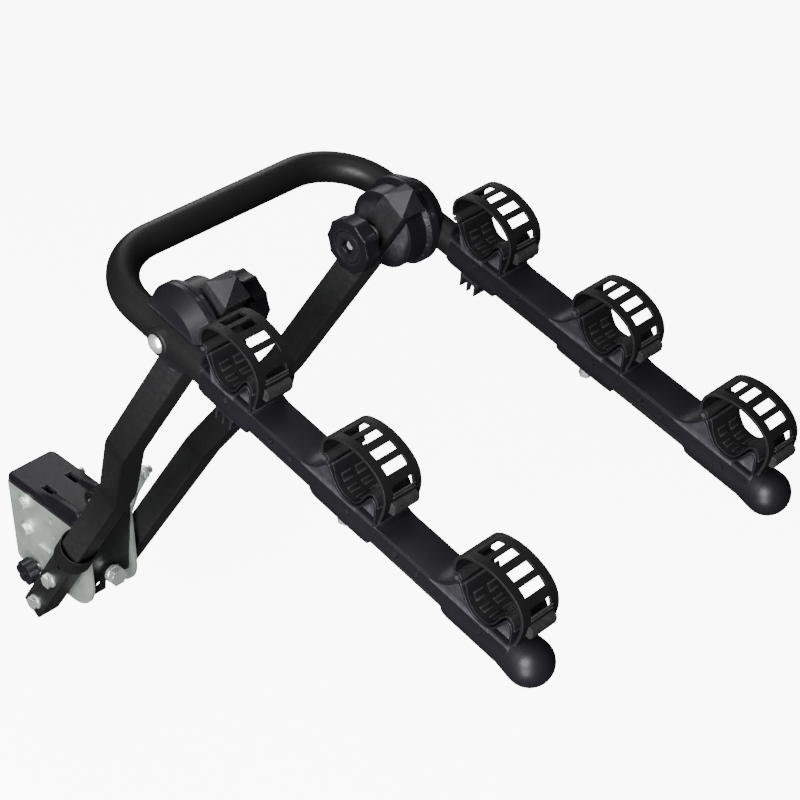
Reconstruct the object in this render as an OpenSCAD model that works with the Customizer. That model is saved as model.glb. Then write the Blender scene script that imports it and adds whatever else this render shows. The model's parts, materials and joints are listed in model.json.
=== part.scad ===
// Ball-clamp bike rack: a clamping bracket, two leaning side tubes, a folding
// U-tube with a moulded rail on each arm and three strapped cradles per rail.
// Millimetres, +Z up. The origin is the centre of the clamped ball; the vehicle
// is toward +Y and the two arms reach out toward -Y. X is the mirror direction.

/* [Main frame] */
// Distance from the ball centre to the arm pivot, away from the vehicle
hub_y = 450; // [350:5:550]
// Height of the arm pivot over the ball centre
hub_z = 577; // [450:1:700]
// Half of the distance between the two arms
arm_x = 158.5; // [120:0.5:200]
// Lean of the side tubes from upright, degrees
lean = 33.8; // [20:0.1:45]
// Slope of the arms below level, degrees
droop = 13; // [0:0.5:25]

/* [U-tube] */
// Outer diameter of the round tube
tube_d = 32; // [25:1:40]
// Wall of every tube
wall = 2; // [1.5:0.5:3]
// Bend radius of the two corners, on the tube centreline
bend_r = 68; // [45:1:90]
// Pivot to the centreline of the crossbar
crossbar_y = 114.8; // [90:1:140]
// Pivot to the tip of each arm tube
arm_len = 460; // [380:5:560]

/* [Side tubes] */
// Width of the square side tube, across the rack
side_w = 30.8; // [25:0.2:40]
// Depth of the square side tube, along the rack
side_d = 32; // [25:1:40]
// Offset of the upper part from the middle plane
side_x_top = 111.5; // [100:0.5:125]
// Offset of the lower part from the middle plane
side_x_low = 62.2; // [55:0.2:80]
// Pivot to the start of the inward jog, along the tube
jog_start = 282; // [200:1:320]
// Pivot to the end of the inward jog
jog_end = 449; // [400:1:480]
// Pivot to the mouth of the coupling sleeve of the left side tube
sleeve_s = 612; // [580:1:640]
// Pivot to the cut end of the foot
foot_end = 796; // [760:1:820]

/* [Bracket] */
// Thickness of the two side plates
plate_t = 4; // [3:0.5:6]
// Outer face of each plate, from the middle plane
plate_x = 35; // [33:0.5:40]
// Diameter of the tow ball the socket fits
ball_d = 50; // [48:0.5:52]
// Radial clearance of the ball in its socket
ball_gap = 0.25; // [0.1:0.05:0.5]

/* [Cradles] */
// Distance from one cradle to the next
pitch = 160; // [130:1:190]
// Pivot to the first cradle
first_y = 98; // [80:1:120]
// Width of a strap
strap_w = 43; // [35:1:50]

/* [Hidden] */
$fn = 64;

// Colours
black_steel = [0.10, 0.10, 0.11];
black_plastic = [0.13, 0.125, 0.145];
black_rubber = [0.08, 0.08, 0.085];
zinc = [0.74, 0.78, 0.74];

// Shared sizes worked out from the driving ones
run_gap = 0.1;                       // radial gap of a running fit
part_gap = 0.3;                      // gap between faces of different bodies
tube_r = tube_d / 2;
pivot_r = 6;                         // M12 pivot bolt
side_out_top = side_x_top + side_w / 2;
side_in_top = side_x_top - side_w / 2;
side_in_low = side_x_low - side_w / 2;
side_out_low = side_x_low + side_w / 2;
tube_top = 52;                       // side tube runs on past the pivot by this
cap_h = 22;                          // height of the pyramid on the tube top
sleeve_len = 28;
sleeve_r = 24;
sleeve_base = 3;
foot_start = sleeve_s + sleeve_len + sleeve_base + 0.4;
foot_bolt_s = [700, 772];            // along the foot, from the pivot

plate_in = plate_x - plate_t;
gap_w = 2 * plate_in - 0.4;          // what fits between the plates
plate_top = 49;
plate_bottom = -76;
plate_front = -84;
plate_corner = 45;                   // radius of the lower front corner
plate_rear = 78;
plate_bolt_yz = [[45, 32], [46, -10]];
slot_yz = [[-9, 32], [-12, 2]];
front_tilt = 9.2;                    // lean of the front plate, degrees
clamp_z = -29;                       // height of the clamp bolt
lug_tip = [-116, 130];               // tip of the lug on the right plate
coil_yz = [-66, 80];
coil_r = 15;
coil_x = -10;                        // left face of the bush
star_yz = [34, -66];
cover_z = 60;                        // flat top of the cover
knob_r = 29.5;
knob_flats = 10;

rail_w = 38;
rail_top = 20.5;
boot_r = 19.3;
boot_spans = [[66, 124], [217, 282], [380, 438]];   // rounded stretches of a rail
bulb_r = 21.8;
clip_y = -88;
ribbon_t = 2.4;                      // thickness of the moulded cup wall
liner_t = 1.8;
strap_t = 2.8;
bead_yz = [33, 48.5];                // hook bead of a cradle, from the cradle centre
bead_r = 2.3;

// Centreline of each moulded ribbon, [along the arm, height], from the cradle centre
cup_line = [[32.2, 46.5], [30, 42], [25.5, 37.5], [20, 31], [12.6, 24.4], [3.7, 22], [-7, 23.4],
            [-14, 30], [-21, 44], [-25, 46.5], [-28.5, 43], [-30.5, 33], [-31, 21.5]];
lip_line = [[29.5, 41.5], [33, 38], [35.2, 31], [36.5, 20.5]];
liner_line = [[25.5, 48], [22.5, 43], [18.8, 35.5], [11.2, 27.7], [3.6, 25.6], [-5.4, 26.8],
              [-11.4, 33], [-18.5, 48], [-24, 52], [-29, 49], [-32, 43]];
strap_line = [[37.2, 50], [39, 60], [36.5, 69.5], [28.5, 77], [16, 81.6], [3, 83.2],
              [-10.5, 81.6], [-23.5, 77], [-33, 69], [-38, 58], [-38.8, 46], [-37, 31]];
ramp_line = [[62, 20.6], [52, 23], [44.5, 28], [38.5, 35], [34, 40], [29.5, 41.5]];
window_angles = [58, 82, 106, 130, 154];
window_centre = [2, 46];

// ---------- helpers ----------

// Moves into the arm frame: arms along -Y, Z square to their plane
module arm_frame() {
    translate([0, -hub_y, hub_z])
        rotate([droop, 0, 0])
            children();
}

// Moves into the side tube frame: Z up the tube, origin on the pivot line
module side_frame() {
    translate([0, -hub_y, hub_z])
        rotate([lean, 0, 0])
            children();
}

// Draws the children on the left (s = -1) or on the right (s = 1)
module side(s) {
    if (s > 0) children();
    else mirror([1, 0, 0]) children();
}

module both() {
    children();
    mirror([1, 0, 0]) children();
}

// Round bar along X from x0 to x1
module x_rod(x0, x1, r) {
    translate([x0, 0, 0])
        rotate([0, 90, 0])
            cylinder(h = x1 - x0, r = r);
}

module x_cone(x0, x1, r0, r1) {
    translate([x0, 0, 0])
        rotate([0, 90, 0])
            cylinder(h = x1 - x0, r1 = r0, r2 = r1);
}

// Round bar along Y from y0 to y1
module y_rod(y0, y1, r) {
    translate([0, y1, 0])
        rotate([90, 0, 0])
            cylinder(h = y1 - y0, r = r);
}

// Hexagon along X, across flats af
module x_hex(x0, x1, af) {
    translate([x0, 0, 0])
        rotate([0, 90, 0])
            cylinder(h = x1 - x0, r = af / sqrt(3), $fn = 6);
}

module at_yz(p) {
    translate([0, p[0], p[1]])
        children();
}

module block(x0, x1, y0, y1, z0, z1) {
    translate([x0, y0, z0])
        cube([x1 - x0, y1 - y0, z1 - z0]);
}

// Extrudes a drawing made in the Y-Z plane along X, from x0 to x1
module along_x(x0, x1) {
    translate([x0, 0, 0])
        rotate([90, 0, 90])
            linear_extrude(height = x1 - x0)
                children();
}

// Unit normal of the stretch from a to b, to its left
function normal(a, b) = [a[1] - b[1], b[0] - a[0]] / norm(b - a);

// Mitre at point i of a line: the way and the amount an offset of 1 moves it
function mitre(line, i) =
    let(last = len(line) - 1,
        before = normal(line[max(i - 1, 0)], line[max(i, 1)]),
        after = normal(line[min(i, last - 1)], line[min(i + 1, last)]),
        both_ways = before + after)
    both_ways * 2 / (both_ways * both_ways);

// A flat strip of even thickness that follows a line of points
module ribbon(line, t) {
    last = len(line) - 1;
    polygon(concat([for (i = [0 : last]) line[i] + mitre(line, i) * t / 2],
                   [for (i = [last : -1 : 0]) line[i] - mitre(line, i) * t / 2]));
}

module rounded_rect(y0, y1, z0, z1, r) {
    union() {
        translate([y0 + r, z0])
            square([y1 - y0 - 2 * r, z1 - z0]);
        translate([y0, z0 + r])
            square([y1 - y0, z1 - z0 - 2 * r]);
        for (y = [y0 + r, y1 - r], z = [z0 + r, z1 - r])
            translate([y, z])
                circle(r = r);
    }
}

// ---------- bracket ----------

module plate_outline() {
    difference() {
        union() {
            rounded_rect(plate_front, plate_rear, plate_bottom, plate_top, 8);
            translate([plate_front + 60, plate_top - 20])
                square([plate_rear - plate_front - 60, 20]);
        }
        translate([plate_front - 1, plate_bottom - 1])
            square([plate_corner + 1, plate_corner + 1]);
        for (p = slot_yz)
            translate(p)
                rounded_rect(-3, 3, -5.5, 5.5, 2.9);
    }
    translate([plate_front + plate_corner, plate_bottom + plate_corner])
        circle(r = plate_corner, $fn = 96);
}

module lug_outline() {
    difference() {
        union() {
            polygon([[plate_front, plate_top - 10], [plate_front, plate_top], [-103, 92],
                     lug_tip + [-8.6, -2.6], lug_tip + [6, 6.7], [-56, 78], [-46, plate_top - 10]]);
            translate(lug_tip)
                circle(r = 9);
        }
        translate(lug_tip)
            circle(r = 5.2);
        translate(coil_yz)
            circle(r = 5.2);
    }
}

module plate_holes() {
    for (p = plate_bolt_yz)
        at_yz(p)
            x_rod(-50, 50, 5.2);
    for (s = foot_bolt_s)
        at_yz([-hub_y + s * sin(lean), hub_z - s * cos(lean)])
            x_rod(-50, 50, 5.2);
}

// The louvre pressed out of each plate
module plate_louvre() {
    block(plate_x - 0.5, plate_x + 3, 0, 22, -25, -22.5);
}

module plate_left() {
    color(zinc)
        difference() {
            union() {
                along_x(-plate_x, -plate_in)
                    plate_outline();
                mirror([1, 0, 0])
                    plate_louvre();
            }
            plate_holes();
            at_yz(star_yz)
                x_rod(-50, 0, 5.1);
        }
}

module plate_right() {
    color(zinc)
        difference() {
            union() {
                along_x(plate_in, plate_x)
                    union() {
                        plate_outline();
                        lug_outline();
                    }
                plate_louvre();
            }
            plate_holes();
        }
}

// Cast block with the round socket for the ball, open underneath
module ball_cup() {
    r = ball_d / 2 + ball_gap;
    color(black_steel)
        difference() {
            union() {
                block(-gap_w / 2, gap_w / 2, -32, 32, -14, 34);
                translate([0, 0, 30])
                    cylinder(h = 10, r = 20);
            }
            translate([0, 0, -15])
                cylinder(h = 15, r = r, $fn = 128);
            sphere(r = r, $fn = 96);
        }
}

// Block behind the cup that the two plate bolts pass through
module rear_spacer() {
    color(black_steel)
        difference() {
            block(-gap_w / 2, gap_w / 2, 34, 58, -22, 44);
            for (p = plate_bolt_yz)
                at_yz(p)
                    x_rod(-40, 40, 5.2);
        }
}

// Two M10 bolts through both plates, with nuts on the right
module plate_bolts() {
    color(zinc)
        for (p = plate_bolt_yz)
            at_yz(p) {
                x_rod(-plate_x - 1, 56, 5);
                x_rod(-plate_x - 2, -plate_x, 9);
                x_hex(-plate_x - 8.5, -plate_x - 1.8, 15);
                difference() {
                    x_rod(plate_x, plate_x + 2, 9);
                    x_rod(plate_x - 1, plate_x + 3, 4.9);
                }
                x_hex(plate_x + 1.8, plate_x + 10, 15);
            }
}

// Moulded lid over the plates: two ribs that rise toward the front, two slots, and a
// trough between the ribs that leaves the bush open
module bracket_cover() {
    x = plate_x + 1.5;
    color(black_plastic)
        difference() {
            union() {
                translate([0, 0, plate_top + part_gap])
                    linear_extrude(height = 7.5)
                        rounded_rect(-x, x, -66, 79, 9);
                translate([0, 0, plate_top + 7])
                    linear_extrude(height = 3.8)
                        rounded_rect(-x + 2, x - 2, -64, 77, 8);
                for (s = [-1, 1])
                    along_x(s * 24 - 8, s * 24 + 8)
                        polygon([[-64, cover_z - 1], [-64, cover_z + 8], [-44, cover_z + 8],
                                 [0, cover_z + 2.5], [20, cover_z + 0.6], [20, cover_z - 1]]);
            }
            for (s = [-1, 1])
                block(s * 18 - 5, s * 18 + 5, 0, 23, cover_z - 8, cover_z + 12);
            block(-x + 3, x - 3, -63, 76, plate_top - 1, cover_z - 3);
            block(plate_in - part_gap, plate_x + part_gap, -70, -44, plate_top - 1, cover_z + 12);
            translate([0, coil_yz[0], coil_yz[1]])
                x_rod(coil_x - 3, coil_x + 29, coil_r + 1);
        }
}

// Black plate across the front, leaning slightly, with an ear at the lower left
module front_plate() {
    color(black_steel)
        difference() {
            translate([0, -88, 65])
                rotate([front_tilt, 0, 0]) {
                    block(-gap_w / 2, gap_w / 2, 0, plate_t, -112, 0);
                    block(-gap_w / 2, -4.5, 0, plate_t, -126, -111);
                }
            translate([-16, 0, -44])
                y_rod(-120, 0, 4);
            translate([0, 0, clamp_z])
                y_rod(-120, 0, 11.3);
        }
}

// Cross bar behind the front plate, drilled for the clamp bolt
module clamp_bar() {
    color(black_steel)
        difference() {
            union() {
                block(-gap_w / 2, gap_w / 2, -62, -46, clamp_z - 14, clamp_z + 14);
                translate([0, 0, clamp_z])
                    y_rod(-79, -50, 11);
            }
            translate([0, 0, clamp_z])
                y_rod(-100, 0, 7 + run_gap);
        }
}

// M14 bolt with a large hexagon head that draws the jaw in
module clamp_bolt() {
    color(zinc)
        translate([0, 0, clamp_z]) {
            y_rod(-84, -26, 7);
            y_rod(-84, -79.3, 12);
            translate([0, -83.5, 0])
                rotate([90, 0, 0])
                    cylinder(h = 9.5, r = 22 / sqrt(3), $fn = 6);
        }
}

// Sliding jaw that bears on the ball from below and in front
module clamp_jaw() {
    r = ball_d / 2 + ball_gap;
    color(black_steel)
        difference() {
            block(-22, 22, -35, -12, clamp_z - 13, clamp_z + 14.6);
            sphere(r = r, $fn = 96);
            translate([0, 0, -60])
                cylinder(h = 60, r = 17);
            translate([0, 0, clamp_z])
                y_rod(-60, 0, 7 + run_gap);
        }
}

// Ribbed bush on a cross pin at the front of the cover
module coil_bush() {
    color(black_rubber)
        at_yz(coil_yz)
            difference() {
                union() {
                    x_rod(coil_x, coil_x + 26, coil_r - 1.6);
                    for (i = [0 : 4])
                        x_rod(coil_x + i * 5.6, coil_x + i * 5.6 + 3.6, coil_r);
                }
                for (r = [7, 10.4])
                    difference() {
                        x_rod(coil_x - 1, coil_x + 1.4, r + 1.4);
                        x_rod(coil_x - 2, coil_x + 2, r);
                    }
                x_rod(coil_x - 2, 30, 5.1);
            }
}

module coil_pin() {
    color(zinc)
        at_yz(coil_yz) {
            x_rod(coil_x - 2, plate_x + 2, 5);
            x_rod(plate_x + 0.2, plate_x + 4, 8);
        }
}

module lug_bolt() {
    color(zinc)
        at_yz(lug_tip) {
            x_rod(plate_in - 9, side_in_low - 2, 5);
            x_hex(plate_in - 7.2, plate_in - 0.2, 15);
            x_rod(plate_x + 0.2, plate_x + 3, 8);
        }
}

// A round with six shallow lobes about its rim
module star_outline() {
    circle(r = 11.5);
    for (i = [0 : 5])
        rotate(i * 60)
            translate([10, 0])
                circle(r = 7);
}

// Star knob on its screw, low on the left plate, with a round recess in its face
module star_knob() {
    color(black_plastic)
        at_yz(star_yz)
            difference() {
                union() {
                    along_x(-57, -43)
                        star_outline();
                    x_rod(-43.5, -38.5, 9.2);
                }
                x_rod(-58, -38, 5.05);
                x_rod(-58, -51, 6.2);
            }
}

module star_screw() {
    color(zinc)
        at_yz(star_yz)
            x_rod(-50.6, -18, 5);
}

// ---------- feet and side tubes ----------

module square_tube(x, s0, s1) {
    difference() {
        block(x - side_w / 2, x + side_w / 2, -side_d / 2, side_d / 2, -s1, -s0);
        block(x - side_w / 2 + wall, x + side_w / 2 - wall, -side_d / 2 + wall, side_d / 2 - wall,
              -s1 - 1, -s0 + 1);
    }
}

module foot_holes() {
    for (p = foot_bolt_s)
        translate([0, 0, -p])
            x_rod(20, 90, 5.2);
}

// The left side tube ends in a sleeve, and this separate foot carries on below it
module foot_left() {
    color(black_steel)
        side(-1)
            side_frame()
                difference() {
                    square_tube(side_x_low, foot_start, foot_end);
                    foot_holes();
                    translate([0, 0, -663.5])
                        x_rod(side_x_low, 90, 3);
                }
}

// Round distance pieces between each foot and its plate
module foot_spacers() {
    color(zinc)
        both()
            side_frame()
                for (p = foot_bolt_s)
                    translate([0, 0, -p])
                        difference() {
                            x_rod(plate_x + 0.1, side_in_low - 0.1, 9);
                            x_rod(plate_x - 1, side_in_low + 1, 5.2);
                        }
}

module foot_bolts() {
    color(zinc)
        both()
            side_frame()
                for (p = foot_bolt_s)
                    translate([0, 0, -p]) {
                        x_rod(plate_in - 2, side_out_low + 1, 5);
                        x_rod(side_out_low + 0.1, side_out_low + 2.2, 10);
                        x_hex(side_out_low + 2, side_out_low + 8.5, 16);
                    }
}

// Round coupling sleeve: the side tube stands in it, the foot hangs under it
module sleeve_left() {
    color(black_steel)
        side(-1)
            side_frame()
                translate([side_x_low, 0, -sleeve_s - sleeve_len - sleeve_base])
                    difference() {
                        cylinder(h = sleeve_len + sleeve_base, r = sleeve_r);
                        translate([0, 0, sleeve_base])
                            cylinder(h = sleeve_len + 1, r = sleeve_r - 1.6);
                    }
}

// Front view of a side tube: straight, jogged inward, straight again
module side_band(w, top, bottom) {
    h = w / 2;
    polygon([[side_x_top - h, top], [side_x_top + h, top],
             [side_x_top + h, -jog_start], [side_x_low + h, -jog_end],
             [side_x_low + h, bottom], [side_x_low - h, bottom],
             [side_x_low - h, -jog_end], [side_x_top - h, -jog_start]]);
}

// A side tube from its top down to the given length past the pivot
module side_tube(s, bottom) {
    color(black_steel)
        side(s)
            side_frame()
                difference() {
                    translate([0, side_d / 2, 0])
                        rotate([90, 0, 0])
                            linear_extrude(height = side_d)
                                side_band(side_w, tube_top, -bottom);
                    translate([0, side_d / 2 - wall, 0])
                        rotate([90, 0, 0])
                            linear_extrude(height = side_d - 2 * wall)
                                side_band(side_w - 2 * wall, tube_top + 1, -bottom - 1);
                    x_rod(80, 140, pivot_r + run_gap);
                    foot_holes();
                }
}

module side_tube_left() { side_tube(-1, sleeve_s + sleeve_len - 0.2); }
module side_tube_right() { side_tube(1, foot_end); }

// Four-sided pointed caps that close the tops of the side tubes
module tube_caps() {
    base = side_w;
    color(black_plastic)
        both()
            side_frame()
                translate([side_x_top, 0, tube_top + 0.1]) {
                    translate([0, 0, -8])
                        linear_extrude(height = 8.5)
                            square([side_w - 2 * wall - 0.2, side_d - 2 * wall - 0.2], center = true);
                    rotate([0, 0, 45])
                        cylinder(h = cap_h, r1 = base / sqrt(2), r2 = 0.6, $fn = 4);
                }
}

// ---------- pivot hubs ----------

// Round housing that grips the side tube and faces the drum
module hub_housing(s) {
    color(black_plastic)
        side(s)
            side_frame()
                difference() {
                    x_rod(109, 130.6, 40.5);
                    block(90, side_out_top + 0.15, -side_d / 2 - 0.15, side_d / 2 + 0.15, -60, 60);
                    x_rod(100, 140, pivot_r + run_gap);
                }
}

module hub_housing_left() { hub_housing(-1); }
module hub_housing_right() { hub_housing(1); }

// M12 carriage bolts: domed head outside the arm, thread in the knob
module pivot_bolts() {
    tip = 4;
    shaft = 110.6;
    color(zinc)
        both()
            arm_frame()
                translate([66, 0, 0])
                    rotate([0, 90, 0])
                        rotate_extrude($fn = 96) {
                            translate([0, tip])
                                square([pivot_r, shaft - tip]);
                            square([pivot_r - 1.4, tip + 1]);
                            translate([0, shaft])
                                difference() {
                                    translate([0, -6.4])
                                        circle(r = 11.8);
                                    translate([-12, -20])
                                        square([24, 20]);
                                    translate([-12, -20])
                                        square([12, 40]);
                                }
                        }
}

module knob_washers() {
    color(zinc)
        both()
            arm_frame()
                difference() {
                    x_rod(93, 95.8, 11);
                    x_rod(92, 97, pivot_r + run_gap);
                }
}

// Ten-sided scalloped hand knob, stepped behind, with a hexagon recess in its ringed face
module knob(s) {
    color(black_plastic)
        side(s)
            arm_frame()
                difference() {
                    union() {
                        x_rod(62.4, 79, knob_r);
                        x_cone(78.9, 82.5, 25, 21);
                        x_rod(82, 86.5, 18);
                        x_rod(86, 92.6, 12);
                    }
                    for (i = [0 : knob_flats - 1])
                        rotate([i * 360 / knob_flats + 9, 0, 0])
                            translate([0, knob_r + 43, 0])
                                x_rod(60, 84, 45);
                    difference() {
                        x_rod(62, 63.4, 17.5);
                        x_rod(61, 64, 16);
                    }
                    x_hex(61, 70.3, 13.6);
                    x_rod(70, 100, pivot_r + run_gap);
                }
}

module knob_left() { knob(-1); }
module knob_right() { knob(1); }

// ---------- folding arms ----------

module tube_corner(r) {
    translate([arm_x - bend_r, crossbar_y - bend_r, 0])
        rotate_extrude(angle = 90, $fn = 96)
            translate([bend_r, 0])
                circle(r = r);
}

// One solid in the shape of the bent U-tube, at the given radius
module u_shape(r, tip) {
    for (s = [-1, 1]) {
        translate([s * arm_x, 0, 0])
            y_rod(-tip, crossbar_y - bend_r, r);
        side(s)
            tube_corner(r);
    }
    translate([0, crossbar_y, 0])
        x_rod(-arm_x + bend_r, arm_x - bend_r, r);
}

module u_tube() {
    color(black_steel)
        arm_frame()
            difference() {
                union() {
                    u_shape(tube_r, arm_len);
                    both()
                        x_rod(arm_x + 6, 176.3, 14);
                }
                u_shape(tube_r - wall, arm_len + 1);
                x_rod(-190, 190, pivot_r + run_gap);
            }
}

// Ringed drum that carries the arm tube beside the housing
module drum(s) {
    tooth_n = 36;
    color(black_plastic)
        side(s)
            arm_frame()
                difference() {
                    union() {
                        x_cone(131, 134.2, 41.5, 46);
                        x_rod(134.1, 144, 46);
                        x_cone(143.9, 160.5, 46, 36.5);
                    }
                    difference() {
                        x_rod(138, 139, 50);
                        x_rod(137, 140, 45.2);
                    }
                    for (i = [0 : tooth_n - 1])
                        rotate([i * 360 / tooth_n, 0, 0])
                            translate([0, 0, 44.4])
                                block(131, 133.6, -0.4, 0.4, -1, 2.6);
                    translate([arm_x, 0, 0])
                        y_rod(-60, 60, tube_r + 0.1);
                    x_rod(120, 165, pivot_r + run_gap);
                }
}

module drum_left() { drum(-1); }
module drum_right() { drum(1); }

// One cup with its lip, hump and hook bead
module cup() {
    along_x(arm_x - strap_w / 2 + 1, arm_x + strap_w / 2 - 1) {
        ribbon(cup_line, ribbon_t);
        translate(bead_yz)
            circle(r = bead_r, $fn = 32);
    }
}

module rail(s) {
    color(black_plastic)
        side(s)
            arm_frame()
                difference() {
                    union() {
                        block(arm_x - rail_w / 2, arm_x + rail_w / 2, -first_y - 2 * pitch - 31,
                              -first_y + 36.5, 2, rail_top);
                        for (b = boot_spans)
                            translate([arm_x, 0, 0])
                                y_rod(-b[1], -b[0], boot_r);
                        for (i = [0 : 2])
                            translate([0, -first_y - i * pitch, 0]) {
                                cup();
                                along_x(arm_x - rail_w / 2, arm_x + rail_w / 2)
                                    if (i == 0) ribbon(lip_line, ribbon_t);
                                    else ribbon(ramp_line, ribbon_t);
                            }
                    }
                    translate([arm_x, 0, 0])
                        y_rod(-460, -40, tube_r + 0.1);
                    for (i = [0 : 2], y = [0, -60, -86])
                        if (i < 2 || y == 0)
                            translate([arm_x - 30, -first_y - i * pitch + y, 9])
                                x_rod(0, 60, 1.7);
                    for (y = [clip_y, -242])
                        translate([arm_x, y, -30])
                            cylinder(h = 14.5, r = 3.2);
                }
}

module rail_left() { rail(-1); }
module rail_right() { rail(1); }

// Rounded bulbs closing the arm tips
module end_caps() {
    color(black_plastic)
        both()
            arm_frame()
                translate([arm_x, 0, 0])
                    difference() {
                        union() {
                            translate([0, -arm_len - 0.6, 0])
                                sphere(r = bulb_r);
                            translate([0, -438.3, 0])
                                rotate([90, 0, 0])
                                    cylinder(h = 18, r1 = boot_r, r2 = bulb_r);
                            y_rod(-arm_len - 0.6, -456, bulb_r);
                        }
                        y_rod(-arm_len - 0.1, -430, tube_r + 0.1);
                        block(-30, 30, -arm_len + 10, -430, 1.8, 30);
                    }
}

// Screws under the second cradle of each rail
module rail_bolts() {
    color(zinc)
        both()
            arm_frame()
                translate([arm_x, -242, 0]) {
                    translate([0, 0, -33])
                        cylinder(h = 16.8, r = 3);
                    translate([0, 0, -30])
                        cylinder(h = 10.4, r = 12 / sqrt(3), $fn = 6);
                }
}

// Small finned clips under the hub end of each rail
module rail_clips() {
    color(black_plastic)
        both()
            arm_frame()
                translate([arm_x, clip_y, 0])
                    difference() {
                        union() {
                            block(-8, 8, -12, 12, -24.5, -19.6);
                            for (y = [-9.5, 0, 9.5])
                                along_x(-8, 8)
                                    polygon([[y - 2, -24], [y - 0.8, -36], [y + 0.8, -36], [y + 2, -24]]);
                        }
                        translate([0, 0, -37])
                            cylinder(h = 20, r = 3.2);
                    }
}

// Soft liners that lie in the cups of one rail
module liners(s) {
    color(black_rubber)
        side(s)
            arm_frame()
                for (i = [0 : 2])
                    translate([0, -first_y - i * pitch, 0])
                        along_x(arm_x - strap_w / 2 + 1.5, arm_x + strap_w / 2 - 1.5)
                            ribbon(liner_line, liner_t);
}

module liners_left() { liners(-1); }
module liners_right() { liners(1); }

// Ladder strap: open hook over the bead, arched band with windows, end grip
module strap(s, i) {
    hook_in = bead_r + 0.45;
    hook_out = hook_in + 2.2;
    color(black_rubber)
        side(s)
            arm_frame()
                translate([0, -first_y - i * pitch, 0])
                    difference() {
                        union() {
                            along_x(arm_x - strap_w / 2, arm_x + strap_w / 2) {
                                ribbon(strap_line, strap_t);
                                translate(bead_yz)
                                    difference() {
                                        circle(r = hook_out);
                                        circle(r = hook_in);
                                        rotate(20)
                                            translate([-10, -20])
                                                square([20, 20]);
                                    }
                            }
                            along_x(arm_x - 14.5, arm_x + 14.5)
                                rounded_rect(-46.5, -38, 39.5, 53.5, 2.4);
                        }
                        for (a = window_angles)
                            translate([arm_x, window_centre[0], window_centre[1]])
                                rotate([a, 0, 0])
                                    block(-12, 12, 22, 60, -4.6, 4.6);
                    }
}

module strap_left_1() { strap(-1, 0); }
module strap_left_2() { strap(-1, 1); }
module strap_left_3() { strap(-1, 2); }
module strap_right_1() { strap(1, 0); }
module strap_right_2() { strap(1, 1); }
module strap_right_3() { strap(1, 2); }

plate_left();
plate_right();
ball_cup();
rear_spacer();
plate_bolts();
bracket_cover();
front_plate();
clamp_bar();
clamp_bolt();
clamp_jaw();
coil_bush();
coil_pin();
lug_bolt();
star_knob();
star_screw();
foot_left();
foot_spacers();
foot_bolts();
sleeve_left();
side_tube_left();
side_tube_right();
tube_caps();
hub_housing_left();
hub_housing_right();
pivot_bolts();
knob_washers();
knob_left();
knob_right();
u_tube();
drum_left();
drum_right();
rail_left();
rail_right();
end_caps();
rail_bolts();
rail_clips();
liners_left();
liners_right();
strap_left_1();
strap_left_2();
strap_left_3();
strap_right_1();
strap_right_2();
strap_right_3();
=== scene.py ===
import json
import math

import bmesh
import bpy
from mathutils import Matrix, Vector


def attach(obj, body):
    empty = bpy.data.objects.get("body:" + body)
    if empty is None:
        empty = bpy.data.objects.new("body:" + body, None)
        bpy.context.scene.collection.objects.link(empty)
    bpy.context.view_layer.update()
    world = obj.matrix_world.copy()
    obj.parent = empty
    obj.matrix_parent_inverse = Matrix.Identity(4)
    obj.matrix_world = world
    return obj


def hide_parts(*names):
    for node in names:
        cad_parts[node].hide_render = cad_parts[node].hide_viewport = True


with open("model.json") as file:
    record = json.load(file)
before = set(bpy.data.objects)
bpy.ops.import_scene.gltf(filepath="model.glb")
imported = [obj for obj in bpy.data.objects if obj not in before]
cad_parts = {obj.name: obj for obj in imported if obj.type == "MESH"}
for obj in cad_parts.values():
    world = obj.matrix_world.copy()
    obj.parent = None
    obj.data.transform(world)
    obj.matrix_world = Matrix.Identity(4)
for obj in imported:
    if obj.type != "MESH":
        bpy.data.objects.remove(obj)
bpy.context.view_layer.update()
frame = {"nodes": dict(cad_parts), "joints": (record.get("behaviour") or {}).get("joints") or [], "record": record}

MM = 0.001
JOINTS = {j["name"]: j for j in frame["joints"]}

# Driving sizes, in millimetres, mostly the same as in the CAD source
DROOP = math.radians(13)
LEAN = math.radians(33.8)
ARM_X = 158.5
TUBE_R = 16.0
BEND_R = 68.0
CROSSBAR_Y = 114.8
ARM_LEN = 460.0
SIDE_W = 30.8
SIDE_D = 32.0
SIDE_X_TOP = 111.5
SIDE_X_LOW = 62.2
JOG_START = 282.0
JOG_END = 449.0
SLEEVE_S = 612.0
SLEEVE_LEN = 28.0
FOOT_END = 796.0
WALL = 2.0
TUBE_TOP = 52.0
TUBE_BEND = 58.0
RAIL_W = 38.0
SPINE_HALF = 18.3
SPINE_TOP = 18.6
SPINE_CORNER = 24.6
SPINE_UNDER_R = 15.2
BOOT_R = 19.3
BOOTS = [(66, 124), (217, 282), (380, 446)]  # from and to, as distances from the pivot
BULB_R = 21.8
HOLES = (0, 60, 86)  # distances of a rail's blind holes beyond each cradle
HOLE_Z = 9.5
HOLE_R = 2.1
HOLE_DEPTH = 5.0
PITCH = 160.0
FIRST_Y = 98.0
STRAP_W = 43.0
STRAP_T = 2.8
RIBBON_T = 2.4
LINER_T = 1.8
WEB_HALF = 18.2
HUMP_HALF = 11
HOOK_R = 3.85
GRIP_HALF = 14.5

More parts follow.
